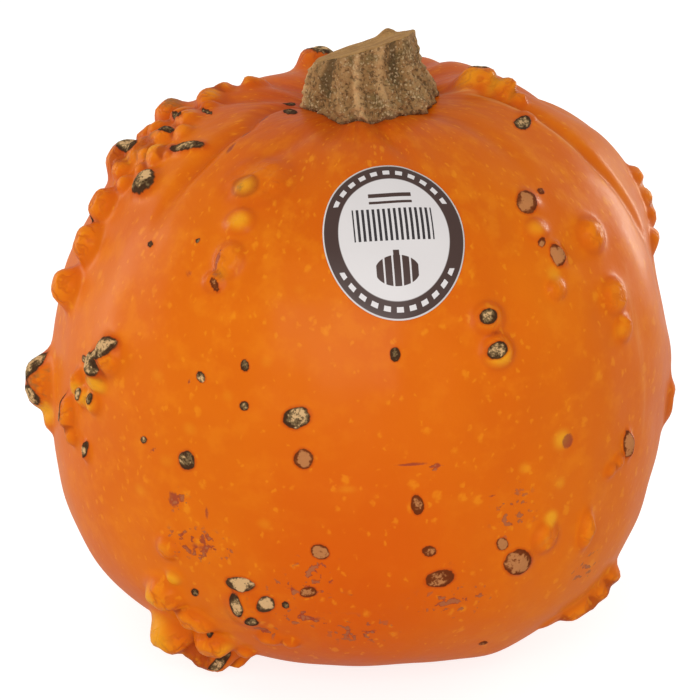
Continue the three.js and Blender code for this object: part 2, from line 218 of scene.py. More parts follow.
# Yellow patches: bearing, height angle, half width, half length, strength
yellowPatches = [
    (-31, 50, 3.2, 3, 0.7), (-28.5, 43.3, 3, 2.6, 0.8), (-28.5, 34, 3, 3, 0.4), (-54.6, 9.6, 3.4, 2, 1),
    (-73.5, 50.5, 2.6, 2.6, 0.8), (-81, -4, 4, 3, 0.9), (-60.8, 6, 3, 2.6, 1), (-57, 6, 3, 2.6, 1),
    (-42.5, -27, 2.6, 3, 1), (-48, -37.5, 5, 4, 1), (-46, -44, 4, 3.4, 0.8), (-30.5, -38.5, 2, 2, 0.6),
    (-37, -22.5, 2.2, 2, 0.9), (-37.5, -16, 2.4, 2, 0.4), (25.5, 20.2, 3.2, 2.2, 0.8), (24, 26.6, 3, 2.4, 0.4),
    (41.5, 32, 2.6, 2.6, 0.6), (41, 40, 3, 2.4, 0.5), (36, -10.5, 2.2, 2, 0.9), (38.2, 3.6, 3, 2.8, 0.8),
    (-24, 14, 2.2, 2, 0.35), (-17, 20.5, 2, 2, 0.35), (-2.5, -1, 3, 1.4, 0.4), (-17, -8.5, 2.4, 2, 0.4),
    (-39, 15, 2.6, 2, 0.4), (-31.5, 7, 2.4, 2.2, 0.4), (-36.5, 0, 3, 2.4, 0.35), (-43, -7, 2.6, 2, 0.4),
    (30, 0, 2, 2, 0.5), (38, -4.5, 2, 2, 0.5), (55, 19, 2.4, 2.4, 0.4), (-12, 33, 2.4, 2, 0.3),
    (-60, -9, 2.6, 2, 0.3), (-26, -28, 4, 4, 0.35), (96, 70.6, 3.6, 3, 0.55), (93, 66, 3.4, 3, 0.6),
    (88, 63, 2.6, 2.2, 0.4), (95, 32, 2, 5, 0.4), (-103, 62, 3, 2, 0.5), (-80, 47, 5, 5, 0.35),
    (-120, 66, 3, 2.4, 0.5),
]

# Grey-green weathering: bearing, height angle, half width, half length, strength
weathered = [
    (-106, 54, 4, 3, 0.9), (-88, 46, 3.4, 5, 0.8), (-81, 52, 3.6, 3, 0.6), (-76, 49, 2.4, 2, 0.5),
    (-164, 62, 5, 5, 0.8), (103, 70, 3, 4.5, 0.5), (-83, 2, 5, 6, 0.8), (-54, 16, 3, 3, 0.6),
    (-55, 12.5, 3, 3, 0.7), (-57.5, 6, 2.2, 2.2, 0.5), (-65, 1, 2.4, 3.4, 0.6), (-31.5, 49.5, 1.6, 1.4, 0.6),
    (-76, 33, 2.4, 2.6, 0.6), (-36, -44, 3, 3, 0.5), (-38, -37, 3, 2.4, 0.3), (-22, -24.5, 4.5, 4.5, 0.35),
]

# Fine purplish pits: bearing, height angle, half width, half length, strength
pitted = [
    (-30, -14.5, 7.5, 3.4, 1), (-34, -7, 3, 2.6, 0.8), (-10, -27, 6, 2.6, 0.8), (-8, -18, 6, 6, 0.55),
    (-14, -21, 4, 3, 0.6), (-19, -31.5, 3, 1.6, 0.8), (-30, 36, 2, 3.4, 0.6), (13, 2.8, 1.6, 1, 0.8),
    (28, -8, 6, 8, 0.4), (18, -24, 10, 5, 0.5), (0, -30, 8, 5, 0.5), (48, -24, 6, 5, 0.4),
]

# Red and purplish marks: bearing, height angle, half width, half length, turn, strength
redMarks = [
    (-47.2, 58, 0.9, 3, 16, 0.7), (-50.4, 63, 0.9, 3.4, 24, 0.7), (-57, 68.6, 0.9, 3.4, 32, 0.7),
    (-35, -6.9, 1.8, 2.4, 0, 0.8), (-30, -15, 5.5, 1.6, -8, 0.5), (-28.1, -8.1, 0.7, 2, 0, 0.7),
    (9.5, 3.4, 5.4, 0.45, 3, 0.8), (13.3, 2.8, 1, 0.7, 0, 0.9), (-9.5, -27, 5, 0.8, 2, 0.6),
    (-1.8, -21.5, 1.4, 0.6, 0, 0.5), (-30, 36, 0.7, 2.6, 0, 0.9), (-36.5, 33, 2, 1.4, 0, 0.5),
    (-39.5, 1.4, 2.2, 0.5, 40, 0.7), (-32, 15.2, 0.5, 1, 0, 0.6), (39.5, 3, 1.8, 1.8, 0, 1),
    (23.5, -4, 1.3, 0.5, 0, 0.7), (-23, -22.5, 8, 1.2, 0, 0.4), (16, -16.5, 4.5, 3.4, 0, 0.35),
    (30, -17.5, 4.6, 3.8, 0, 0.3), (9.8, -4.4, 2.2, 3, 0, 0.35), (-20, -27, 6.5, 6.5, 0, 0.25),
]

# Relief of a scab's crust: how far it reaches past the scab, where it is full, its height and its bumpy top
crustShape = {"overhang": 0.15, "full": 0.5, "height": 0.6, "level": 0.5, "bumps": 0.25, "wave": 1.6, "seed": 8}

# Where the broad fields of colour lie, painted shade and painted light among them: wart heights in millimetres,
# bearings and height angles in degrees
fields = {
    "tall": (2.8, 0.2),  # height of a tall wart, and what is taken off
    "valley": 2.6,
    "crown": (52, 30, 1.5),  # start, reach, power
    "ember": (2, -18, 27, 40),  # bearing, height angle, half width and half length of the deeper orange
    "side": (44, 22),  # top, fade
    "crease": (2.6, 1.3),  # depth that counts in full, narrowing
    "fold": (20, 6),  # fades at the lower and the upper end
}

markReach = 4.5  # how many of its half sizes from its middle a mark is worked out
farOff = -1.5


def directionOf(bearing, angle):
    b, a = np.radians(bearing), np.radians(angle)
    return np.stack([np.cos(a) * np.sin(b), -np.cos(a) * np.cos(b), np.sin(a)], -1)


def anglesOf(unit):
    bearing = np.degrees(np.arctan2(unit[..., 0], -unit[..., 1]))
    return bearing, np.degrees(np.arcsin(np.clip(unit[..., 2], -1, 1)))


# How far points are to the right of a line over the rind, which is given by its bearings at some height angles
def besideLine(bearing, angle, angles, bearings, radius):
    turn = (bearing - np.interp(angle, angles, bearings) + 180) % 360 - 180
    return np.radians(turn) * np.cos(np.radians(angle)) * radius


# A superellipse of the height angle turned about Z, less a bell-shaped hollow under the stem, plus a bell for
# each swelling, less a bell across each crease that fades out downward
def rindRadius(unit):
    bearing, angle = anglesOf(unit)
    height = np.where(angle > 0, rind["topHeight"], rind["bottomHeight"])
    fullness = np.where(angle > 0, rind["topFullness"], rind["bottomFullness"])
    out = np.abs(np.cos(np.radians(angle))) / rind["bodyRadius"]
    up = np.abs(np.sin(np.radians(angle))) / height
    radius = (out ** fullness + up ** fullness) ** (-1 / fullness)
    radius = radius - rind["hollowDepth"] * np.exp(-(((90 - angle) / rind["hollowReach"]) ** 2))
    for swellBearing, swellAngle, rise, reach in swellings:
        apart = np.degrees(np.arccos(np.clip(unit @ directionOf(swellBearing, swellAngle), -1, 1)))
        radius = radius + rise * np.exp(-((apart / reach) ** 2))
    depth = 0.0
    for angles, bearings, deep, half, lowest in creases:
        aside = besideLine(bearing, angle, angles, bearings, radius)
        fade = np.clip((angle - lowest) / rind["creaseFade"], 0, 1)
        depth = depth + deep * fade * fade * (3 - 2 * fade) * np.exp(-((aside / half) ** 2))
    return radius - depth


# The sum of sine waves in seeded directions, about -1 to 1, over places in millimetres
def ripple(places, wavelength, seed, waves=9):
    draw = np.random.default_rng(seed)
    heading = draw.normal(size=(waves, 3))
    heading /= np.linalg.norm(heading, axis=1, keepdims=True)
    pace = 2 * np.pi / (wavelength * draw.uniform(0.7, 1.4, waves))
    phase = places @ (heading * pace[:, None]).T + draw.uniform(0, 2 * np.pi, waves)
    return np.sin(phase).sum(-1) / np.sqrt(waves) * 0.7


def unevenness(places):
    return rind["undulation"] * ripple(places, rind["undulationWave"], rind["undulationSeed"])


# Where the points near a mark lie on it, as parts of its half width and half length
def placesOnMark(unit, bearing, angle, halfWidth, halfLength, turn):
    out, up = directionOf(bearing, angle), directionOf(bearing, angle + 90)
    aside = np.cross(up, out)
    radius = rindRadius(out[None])[0]
    near = np.nonzero(unit @ out > np.cos(markReach * max(halfWidth, halfLength) / radius))[0]
    across, along = unit[near] @ aside * radius, unit[near] @ up * radius
    c, s = np.cos(np.radians(turn)), np.sin(np.radians(turn))
    return near, (across * c + along * s) / halfWidth, (along * c - across * s) / halfLength


# Even numbers between 0 and 1 that come out the same each time
def seededDraw(state):
    while True:
        state = state * 16807 % 2147483647
        yield state / 2147483647


def backWarts():
    draw = seededDraw(backClusters["seed"])
    made = []
    for bearing, angle in backClusters["centres"]:
        for _ in range(backClusters["wartsInEach"]):
            half = 2.4 + 2.4 * next(draw)
            aside = (next(draw) * 2 - 1) * backClusters["spread"]
            along = (next(draw) * 2 - 1) * backClusters["spread"]
            made.append((bearing + aside, angle + along, half, half * (0.8 + 0.4 * next(draw)), half * 0.7, 0))
    return made


# Each wart is a flattened dome with a soft foot: its height times 1 - fall q^2 over 1 + (q / footReach)^footPower,
# where q is the part of its half size, made a little lumpy. Warts join as the root of the sum of their powers.
# Also gives how far up its wart each point is, 0 to 1, and how much lesser warts overlap there.
def wartHeight(unit, places):
    shape = wartShape
    total, share, overlap = np.zeros(len(unit)), np.zeros(len(unit)), np.zeros(len(unit))
    for mark in [*sum(warts.values(), []), *backWarts()]:
        bearing, angle, halfWidth, halfLength, height, turn = mark
        near, across, along = placesOnMark(unit, bearing, angle, halfWidth, halfLength, turn)
        q = np.hypot(across, along)
        lumps = shape["lumps"] * min(1.0, height / shape["lumpyFrom"])
        lumpy = height + lumps * ripple(places[near], shape["lumpWave"], shape["lumpSeed"])
        dome = np.clip(1 - shape["fall"] * q * q, 0, 1) / (1 + (q / shape["footReach"]) ** shape["footPower"])
        total[near] += (lumpy * dome) ** shape["joinPower"]
        part = dome * min(1.0, height / shape["fullShare"])
        overlap[near] += np.minimum(share[near], part)
        share[near] = np.maximum(share[near], part)
    return total ** (1 / shape["joinPower"]), share, overlap


# The most that any mark reaches at each point: 1 at a mark's middle, 0 on its edge and less outside it
def nearestMark(unit, marks):
    best, which = np.full(len(unit), farOff), np.zeros(len(unit), int)
    for i, mark in enumerate(marks):
        near, across, along = placesOnMark(unit, *mark[:5])
        reach = np.maximum(1 - across ** 2 - along ** 2, farOff)
        better = reach > best[near]
        best[near[better]], which[near[better]] = reach[better], i
    return best, which


# The most of strength * exp(-q^2) over the marks
def softMarks(unit, marks):
    best = np.zeros(len(unit))
    for bearing, angle, halfWidth, halfLength, turn, strength in marks:
        near, across, along = placesOnMark(unit, bearing, angle, halfWidth, halfLength, turn)
        best[near] = np.maximum(best[near], strength * np.exp(-(across ** 2 + along ** 2)))
    return best


# Marks that have no turn of their own, given one of 0
def upright(marks):
    return [(*mark[:4], 0, mark[4]) for mark in marks]


# A cube's six grids of squares blown up to a ball, whose points are then drawn toward one side by a stretch
# that keeps small squares square
def ballGrid(across, toward, draw):
    i, j = np.meshgrid(np.arange(across + 1), np.arange(across + 1), indexing="ij")
    sides, end = [], np.full_like(i, across)
    for axis in range(3):
        for level, first, second in ((end, i, j), (end * 0, j, i)):
            side = np.empty(i.shape + (3,), int)
            side[..., axis], side[..., (axis + 1) % 3], side[..., (axis + 2) % 3] = level, first, second
            sides.append(side.reshape(-1, 3))
    corners, index = np.unique(np.concatenate(sides), axis=0, return_inverse=True)
    grids = index.reshape(6, across + 1, across + 1)
    quads = np.stack([grids[:, :-1, :-1], grids[:, 1:, :-1], grids[:, 1:, 1:], grids[:, :-1, 1:]], -1)
    ball = np.tan((corners / across * 2 - 1) * np.pi / 4)
    ball /= np.linalg.norm(ball, axis=1, keepdims=True)
    height = ball @ toward
    flat = ball - height[:, None] * toward
    k = draw * draw
    raised = ((k + 1) * height + (k - 1)) / ((k - 1) * height + (k + 1))
    flat *= (2 * draw / ((k - 1) * height + (k + 1)))[:, None]
    return flat + raised[:, None] * toward, quads.reshape(-1, 4)


# The four corners of each face between one ring of points and the next
def ringQuads(rings, around):
    ring, i = np.meshgrid(np.arange(rings - 1), np.arange(around), indexing="ij")
    low, high, following = ring * around, (ring + 1) * around, (i + 1) % around
    return np.stack([low + i, low + following, high + following, high + i], -1).reshape(-1, 4)


def makeMesh(name, points, faces, nodeNames, material):
    mesh = bpy.data.meshes.new(name)
    mesh.from_pydata((points * mm).tolist(), [], [list(map(int, face)) for face in faces])
    mesh.validate()
    mesh.polygons.foreach_set("use_smooth", np.ones(len(mesh.polygons), bool))
    piece = bpy.data.objects.new(name, mesh)
    bpy.context.collection.objects.link(piece)
    mesh.materials.append(material)
    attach(piece, "root")
    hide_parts(*nodeNames)
    return piece


def addFields(piece, **fieldValues):
    for name, values in fieldValues.items():
        kind, key = ("FLOAT", "value") if values.ndim == 1 else ("FLOAT_VECTOR", "vector")
        field = piece.data.attributes.new(name, kind, "POINT")
        field.data.foreach_set(key, np.ascontiguousarray(values, np.float32).ravel())


# One socket of a material's nodes, so that sums read as sums
class Wire:
    def __init__(self, tree, socket):
        self.tree, self.socket = tree, socket

    def math(self, operation, *others):
        return node(self.tree, "ShaderNodeMath", {"operation": operation}, dict(enumerate([self, *others])))

    def __add__(self, other):
        return self.math("ADD", other)

    __radd__ = __add__

    def __sub__(self, other):
        return self.math("SUBTRACT", other)

    def __rsub__(self, other):
        return node(self.tree, "ShaderNodeMath", {"operation": "SUBTRACT"}, {0: other, 1: self})

    def __mul__(self, other):
        return self.math("MULTIPLY", other)

    def __truediv__(self, other):
        return self.math("DIVIDE", other)

    def __pow__(self, other):
        return self.math("POWER", other)

    def most(self, other):
        return self.math("MAXIMUM", other)

    # 0 below the first value and 1 above the second, smooth between
    def step(self, low, high):
        return node(self.tree, "ShaderNodeMapRange", {"interpolation_type": "SMOOTHSTEP"},
                    {"Value": self, "From Min": low, "From Max": high})


def node(tree, kind, settings=None, sockets=None, output=0):
    made = tree.nodes.new(kind)
    for key, value in (settings or {}).items():
        setattr(made, key, value)
    for key, value in (sockets or {}).items():
        if isinstance(value, Wire):
            tree.links.new(value.socket, made.inputs[key])
        else:
            made.inputs[key].default_value = value
    return Wire(tree, made.outputs[output])


# A colour given as the three numbers of a screen colour, turned into the light values that a shader takes
def paint(red, green, blue):
    part = np.array([red, green, blue]) / 255
    light = np.where(part <= 0.04045, part / 12.92, ((part + 0.055) / 1.055) ** 2.4)
    return (*light.tolist(), 1.0)


def mixed(tree, amount, first, second):
    made = tree.nodes.new("ShaderNodeMix")
    made.data_type = "RGBA"
    for key, value in ((0, amount), (6, first), (7, second)):
        if isinstance(value, Wire):
            tree.links.new(value.socket, made.inputs[key])
        else:
            made.inputs[key].default_value = value
    return Wire(tree, made.outputs[2])


def newMaterial(name):
    material = bpy.data.materials.new(name)
    material.use_nodes = True
    tree = material.node_tree
    shader = tree.nodes["Principled BSDF"]
    return material, tree, shader


def feed(tree, shader, **sockets):
    for key, value in sockets.items():
        socket = shader.inputs[key.replace("_", " ")]
        if isinstance(value, Wire):
            tree.links.new(value.socket, socket)
        else:
            socket.default_value = value


def readField(tree, name, output=2):
    return node(tree, "ShaderNodeAttribute", {"attribute_name": name}, {}, output)


def readFields(tree, *names):
    return [readField(tree, name) for name in names]


def noise(tree, places, scale, detail=3.0, roughness=0.55):
    sockets = {"Vector": places, "Scale": scale, "Detail": detail, "Roughness": roughness}
    return node(tree, "ShaderNodeTexNoise", {}, sockets)


# Places moved on unevenly by up to the reach, in metres, so that what is drawn at them loses its even outline
def strayed(tree, places, scale, reach):
    drift = node(tree, "ShaderNodeTexNoise", {}, {"Vector": places, "Scale": scale, "Detail": 1.0}, 1)
    return node(tree, "ShaderNodeVectorMath", {"operation": "MULTIPLY_ADD"}, {0: drift, 1: reach, 2: places})


def stretched(tree, places, scale):
    return node(tree, "ShaderNodeMapping", {}, {"Vector": places, "Scale": scale})


def bumped(tree, height, strength, distance, normal=None):
    sockets = {"Height": height, "Strength": strength, "Distance": distance}
    if normal is not None:
        sockets["Normal"] = normal
    return node(tree, "ShaderNodeBump", {}, sockets)


skinLook = {
    "orange": paint(224, 112, 4),  # ember is the deeper orange low on the front, side the paler one beside it
    "paleOrange": paint(234, 132, 14),
    "deepOrange": paint(214, 96, 2),
    "emberOrange": paint(218, 88, 0),
    # Painted light: the paler orange laid over the sides and back below the crown
    "sideLightOrange": paint(246, 126, 8),
    # The first red is the crown's and the scab halos' own tone, and is also painted shade in the creases, round
    # the warts and in their wrinkles; the second red is painted shade in the valleys between warts
    "crownRedAndShade": paint(186, 62, 6),
    "valleyRed": paint(150, 46, 10),
    "fleckYellow": paint(246, 154, 22),
    "wartYellow": paint(242, 164, 30),
    "wartOrange": paint(238, 134, 18),
    "purple": paint(136, 50, 46),
    "weathered": paint(134, 98, 50),
    "scabDark": paint(54, 42, 28),
    "scabGrey": paint(116, 98, 66),
    "scabPale": paint(218, 178, 126),
    "scabUmber": paint(112, 54, 22),
    "scabBuff": paint(188, 124, 74),
    "rimBrown": paint(104, 46, 18),
    # Colour of the painted highlight along the fold crests
    "foldHighlightPaint": paint(240, 172, 104),
    "waxCoat": 0.08,
    "coatRoughness": 0.22,
    "roughness": 0.42,
    "specular": 0.08,
    "index": 1.45,
    "fleckDrift": (0.0016, 0.0016, 0.0022),
}


def rindMaterial():
    look = skinLook
    material, tree, shader = newMaterial("waxyRind")
    places = node(tree, "ShaderNodeTexCoord", {}, {}, 3)
    grain = readField(tree, "grain", 1)
    wart, tall, valley, scab, pale, brown = readFields(tree, "wart", "tall", "valley", "scab", "pale", "brown")
    yellow, red, grey, pits, crown = readFields(tree, "yellow", "red", "grey", "pits", "crown")
    crease, ember, side, fold = readFields(tree, "crease", "ember", "side", "fold")

    # Mottled orange, redder toward the stem, paler at the sides as painted light, with painted shade in the
    # creases, round the warts, in their wrinkles and in the valleys between them
    broad = noise(tree, places, 22.0, 3.0)
    mottle = noise(tree, grain, 160.0, 3.0, 0.6)
    fine = noise(tree, grain, 520.0, 2.0, 0.6)
    streaks = noise(tree, stretched(tree, grain, (1.0, 1.0, 0.12)), 260.0, 3.0, 0.6)
    colour = mixed(tree, broad.step(0.35, 0.68), look["deepOrange"], look["orange"])
    colour = mixed(tree, mottle.step(0.45, 0.72) * 0.5, colour, look["paleOrange"])
    colour = mixed(tree, ember * 0.85, colour, look["emberOrange"])
    # Painted light: paler orange over the sides and back below the crown, away from the lower front
    colour = mixed(tree, side * 0.28, colour, look["sideLightOrange"])
    reddened = crown * (0.5 + streaks.step(0.4, 0.65) * 0.5)
    colour = mixed(tree, reddened, colour, look["crownRedAndShade"])
    # Painted shade darkening the creases
    colour = mixed(tree, crease * 0.45, colour, look["crownRedAndShade"])
    # Painted shade: darker red on the skirts round the warts
    skirtShade = wart.step(0.02, 0.2) * (1 - wart.step(0.2, 0.6))
    colour = mixed(tree, skirtShade * (0.06 + mottle * 0.36), colour, look["crownRedAndShade"])
    colour = mixed(tree, wart.step(0.45, 0.95) * 0.6, colour, look["wartOrange"])
    wrinkle = 1 - (noise(tree, places, 230.0, 2.0, 0.55) - 0.5).math("ABSOLUTE").step(0.0, 0.08)
    wrinkle = wrinkle * wart.step(0.12, 0.5) * tall
    # Painted shade in the wrinkle grooves of the tall warts
    colour = mixed(tree, wrinkle * 0.4, colour, look["crownRedAndShade"])
    # Painted shade in the valleys where warts overlap
    sunkShade = (valley + (mottle - 0.5) * 0.5).step(0.15, 0.7)
    colour = mixed(tree, sunkShade * 0.62, colour, look["valleyRed"])

    # Small and large yellow flecks, and the yellow tops of some warts
    shortened = stretched(tree, strayed(tree, grain, 700.0, look["fleckDrift"]), (1.0, 1.0, 0.7))
    size = noise(tree, grain, 90.0, 2.0)
    large = node(tree, "ShaderNodeTexVoronoi", {}, {"Vector": shortened, "Scale": 190.0})
    small = node(tree, "ShaderNodeTexVoronoi", {}, {"Vector": shortened, "Scale": 420.0})
    largeFleck = (large * -1 + 0.02 + size * 0.36).step(0.0, 0.16)
    smallFleck = (small * -1 + 0.07 + size * 0.36).step(0.0, 0.2)
    fleck = (largeFleck * 0.42).most(smallFleck * 0.38)
    colour = mixed(tree, fleck, colour, look["fleckYellow"])
    yellowed = (yellow + (mottle - 0.5) * 0.5 * yellow).step(0.12, 0.85)
    colour = mixed(tree, yellowed * 0.85, colour, look["wartYellow"])

    # Weathered skin, then purplish marks and pits with paler cores
    ragged = (fine - 0.5) * 0.9 + (mottle - 0.5) * 0.6
    dulled = (grey + (fine - 0.5) * 1.3 + (mottle - 0.5) * 0.7).step(0.42, 0.85)
    colour = mixed(tree, dulled * 0.65, colour, look["weathered"])
    specks = noise(tree, places, 900.0, 2.0, 0.5)
    marked = (red + (specks - 0.5) * 0.9 * red + ragged * 0.25 * red).step(0.3, 0.6)
    spots = noise(tree, grain, 560.0, 2.0, 0.5)
    pitMark = (spots * 2.4 + (specks - 0.5) * 0.5 + pits * 0.5 - 1.53).step(0.0, 0.16) * pits.step(0.06, 0.4)
    marked = marked.most(pitMark)
    colour = mixed(tree, marked * 0.7, colour, look["purple"])
    core = pitMark * (spots * 2.4 + (specks - 0.5) * 1.2 - 1.4).step(0.0, 0.16)
    colour = mixed(tree, core * 0.45, colour, look["scabBuff"])

    # Scabs: a red halo, a dark ragged rim, and inside it crumbs of grey or brown
    edge = scab + ragged * 0.8
    halo = (edge + 0.8).step(0.0, 0.8)
    colour = mixed(tree, halo * 0.55, colour, look["crownRedAndShade"])
    inside = edge.step(-0.14, 0.1)
    crumbs = noise(tree, places, 1500.0, 3.0, 0.65)
    islands = noise(tree, places, 420.0, 2.0, 0.5)
    tone = 0.5 + (crumbs - 0.5) * 1.4 + (islands - 0.5) * 1.3 + (pale - 0.5) * 0.55 + (scab - 0.5) * 0.4
    greyTone = mixed(tree, tone.step(0.25, 0.5), look["scabDark"], look["scabGrey"])
    greyTone = mixed(tree, tone.step(0.54, 0.76), greyTone, look["scabPale"])
    brownTone = mixed(tree, tone.step(0.34, 0.62), look["scabUmber"], look["scabBuff"])
    crust = mixed(tree, brown, greyTone, brownTone)
    rim = 1 - (scab + (islands - 0.5) * 2.2 + ragged * 0.3).step(0.14, 0.5)
    rimTone = mixed(tree, brown, look["scabDark"], look["rimBrown"])
    crust = mixed(tree, rim * 0.85, crust, rimTone)
    colour = mixed(tree, inside * 0.96, colour, crust)

    # Painted highlight: pale lines along the fold crests, then gloss and small relief
    paintedHighlight = fold * (0.12 + streaks.step(0.4, 0.6) * 0.45)
    colour = mixed(tree, paintedHighlight, colour, look["foldHighlightPaint"])
    rough = look["roughness"] + (mottle - 0.5) * 0.14 + inside * 0.4
    waves = noise(tree, grain, 60.0, 2.0)
    normal = bumped(tree, waves, 0.35, 0.0012)
    normal = bumped(tree, fine + fleck * 0.6 + mottle * 0.6, 0.16, 0.0004, normal)
    normal = bumped(tree, wrinkle * -1, 0.4, 0.0006, normal)
    normal = bumped(tree, inside * 0.6 + crumbs * inside * 0.9 - marked * 0.4, 0.6, 0.0005, normal)
    feed(tree, shader, Base_Color=colour, Roughness=rough, Normal=normal)
    feed(tree, shader, Specular_IOR_Level=look["specular"], IOR=look["index"])
    feed(tree, shader, Coat_Weight=(1 - inside) * look["waxCoat"], Coat_Roughness=look["coatRoughness"])
    return material


# The rind's radius, the warts, the unevenness and the crusts added up along each direction of the ball grid, cut
# flat at the floor, with the fields that the material reads
def makeFruit():
    toward = directionOf(0.0, rind["seenFrom"])
    unit, quads = ballGrid(rind["gridAcross"], toward, rind["frontDraw"])
    base = rindRadius(unit)
    places = unit * base[:, None]
    wart, dome, overlap = wartHeight(unit, places)
    dark, brown = sum(darkScabs.values(), []), sum(brownScabs.values(), [])
    scab, which = nearestMark(unit, dark + brown)
    paleness = np.array([mark[5] for mark in dark + brown])[which]
    bumps = crustShape["bumps"] * ripple(places, crustShape["wave"], crustShape["seed"])
    crust = np.clip(scab + crustShape["overhang"], 0, crustShape["full"]) * (crustShape["level"] + bumps)
    radius = base + wart + unevenness(places) + crust * crustShape["height"]
    points = unit * radius[:, None] + np.array([0, 0, rind["centreHeight"]])
    points[:, 2] = np.maximum(points[:, 2], 0.0)
    outward = np.cross(points[quads[:, 1]] - points[quads[:, 0]], points[quads[:, 2]] - points[quads[:, 0]])
    if (outward * unit[quads[:, 0]]).sum() < 0:
        quads = quads[:, ::-1]
    piece = makeMesh("fruitRind", points, quads, ["fruit"], rindMaterial())
    bearing, angle = anglesOf(unit)
    around = np.radians(bearing)
    along = np.radians(angle) * rind["grainUp"]
    grain = np.stack([np.cos(around) * rind["grainAround"], np.sin(around) * rind["grainAround"], along], -1) * mm
    (tallHeight, tallLess), (crownStart, crownReach, crownPower) = fields["tall"], fields["crown"]
    (emberBearing, emberAngle, emberWidth, emberLength), (sideTop, sideFade) = fields["ember"], fields["side"]
    ember = np.exp(-((bearing - emberBearing) / emberWidth) ** 2 - ((angle - emberAngle) / emberLength) ** 2)
    # Some of these fields carry painted light and shade: the valleys between warts, the creases, the paler sides
    # and the fold highlights
    addFields(
        piece,
        wart=dome,
        tall=np.clip(wart / tallHeight - tallLess, 0, 1),
        valley=np.clip(overlap * fields["valley"], 0, 1),
        scab=scab,
        pale=paleness,
        brown=(which >= len(dark)) * 1.0,
        yellow=softMarks(unit, upright(yellowPatches)),
        red=softMarks(unit, redMarks),
        grey=softMarks(unit, upright(weathered)),
        pits=softMarks(unit, upright(pitted)),
        crown=np.clip((angle - crownStart) / crownReach, 0, 1) ** crownPower,
        crease=np.clip(creaseShade(unit), 0, 1),
        ember=ember,
        side=(1 - ember) * np.clip((sideTop - angle) / sideFade, 0, 1),
        fold=foldLine(unit),
        grain=grain,
    )
    return piece


# Painted highlight along the crest of each fold: a narrow bell, fading out at both ends
def foldLine(unit):
    bearing, angle = anglesOf(unit)
    lowFade, highFade = fields["fold"]
    line = np.zeros(len(unit))
    for angles, bearings, half, strength, lowest, highest in foldCrests:
        aside = besideLine(bearing, angle, angles, bearings, rind["meanRadius"])
        ends = np.clip((angle - lowest) / lowFade, 0, 1) * np.clip((highest - angle) / highFade, 0, 1)
        line = np.maximum(line, strength * ends * np.exp(-((aside / half) ** 2)))
    return line


# Painted shade for the creases: the most of their bells, higher in the deeper creases and 0 outside them
def creaseShade(unit):
    bearing, angle = anglesOf(unit)
    fullDepth, narrowing = fields["crease"]
    shade = np.zeros(len(unit))
    for angles, bearings, deep, half, lowest in creases:
        aside = besideLine(bearing, angle, angles, bearings, rind["meanRadius"])
        fade = np.clip((angle - lowest) / rind["creaseFade"], 0, 1)
        shade = np.maximum(shade, fade * deep / fullDepth * np.exp(-((aside / half * narrowing) ** 2)))
    return shade


stem = {
    "centreX": 2.8,
    "centreY": -2.0,
    "footRadius": 16.2,
    "waistRadius": 12.9,
    "topRadius": 11.9,
    "flareHeight": 5.6,
    "lean": -1.5,  # how far the top stands left of the foot
    "cutLeft": (-10.0, 79.0),  # across and height of the cut face at its left and right ends
    "cutRight": (14.0, 86.5),
    "cutBackwardFall": 0.16,
    "around": 240,
    "levels": 70,
    "underParts": (0.25, 0.6, 0.93),  # rings under the foot and over the cut face, as parts of their edges
    "cutParts": (0.97, 0.9, 0.8, 0.68, 0.54, 0.4, 0.26, 0.12),
    "shrink": 0.9,
    "usualHeight": 14.0,
    "twist": 6,  # how far the ridges wander, in degrees
    "twistPace": 3,
    "bulge": (-80, 40, 1.6),  # turn from the front toward the right, half width in degrees, height
    "ridges": [
        (-78, 14, 0.7), (-46, 9, -1.1), (-26, 6, 0.7), (-8, 6, 1.2), (19, 6, 0.9), (37, 8, -0.7), (58, 9, 0.7),
        (104, 8, 1.2), (128, 6, 0.9), (150, 8, 1.3), (176, 7, 1.0), (202, 9, 1.4), (228, 6, 0.9), (254, 9, 1.2),
        (280, 6, 0.8),
    ],
    "knob": (6.2, 7.2, 2.0, 2.2, 1.7),  # a stub on the cut face: its place, half width, half depth and height
    "grainAround": 13,
    "grainUp": 15,
}


# The sum of a bell for each ridge, with the ridges wandering from side to side on their way up
def ridgeHeight(turn, part):
    turn = turn + stem["twist"] * np.sin(part * stem["twistPace"])
    total = np.zeros_like(turn)
    for place, half, height in stem["ridges"]:
        apart = (turn - place + 180) % 360 - 180
        total = total + height * np.exp(-((apart / half) ** 2))
    return total


# Radius at a height over the foot: a flared foot, a waist and a slight narrowing, with a bulge on the left and
# ridges that are weaker at the foot and at the cut
def stemRadius(turn, rise, reachTop):
    part = np.clip(rise / reachTop, 0, 1)
    flare = (stem["footRadius"] - stem["waistRadius"]) * np.exp(-((rise / stem["flareHeight"]) ** 2))
    narrow = (stem["waistRadius"] - stem["topRadius"]) * part
    place, half, height = stem["bulge"]
    apart = (turn - place + 180) % 360 - 180
    bulge = height * np.exp(-((apart / half) ** 2)) * np.sin(part ** 1.5 * np.pi)
    strength = 0.35 + 0.65 * np.sin(np.clip(part * 1.2 + 0.25, 0, 1) * np.pi / 1.3)
    ridge = bulge + ridgeHeight(turn, part) * strength
    return stem["waistRadius"] - stem["shrink"] + flare - narrow + ridge


def cutHeight(x, y):
    (leftX, leftZ), (rightX, rightZ) = stem["cutLeft"], stem["cutRight"]
    slope = (rightZ - leftZ) / (rightX - leftX)
    return leftZ + slope * (x - leftX) - stem["cutBackwardFall"] * (y - stem["centreY"])


# Height of the rind over a point of the plan, found by four looks along the point's own direction
def rindHeight(x, y):
    z = np.full_like(x, 67.0)
    for _ in range(4):
        away = np.stack([x, y, z], -1)
        length = np.linalg.norm(away, axis=-1)
        z = z + (rindRadius(away / length[..., None]) - length)
    return z


def placesRound(centreX, radius, t):
    return centreX + radius * np.sin(t), stem["centreY"] - radius * np.cos(t)


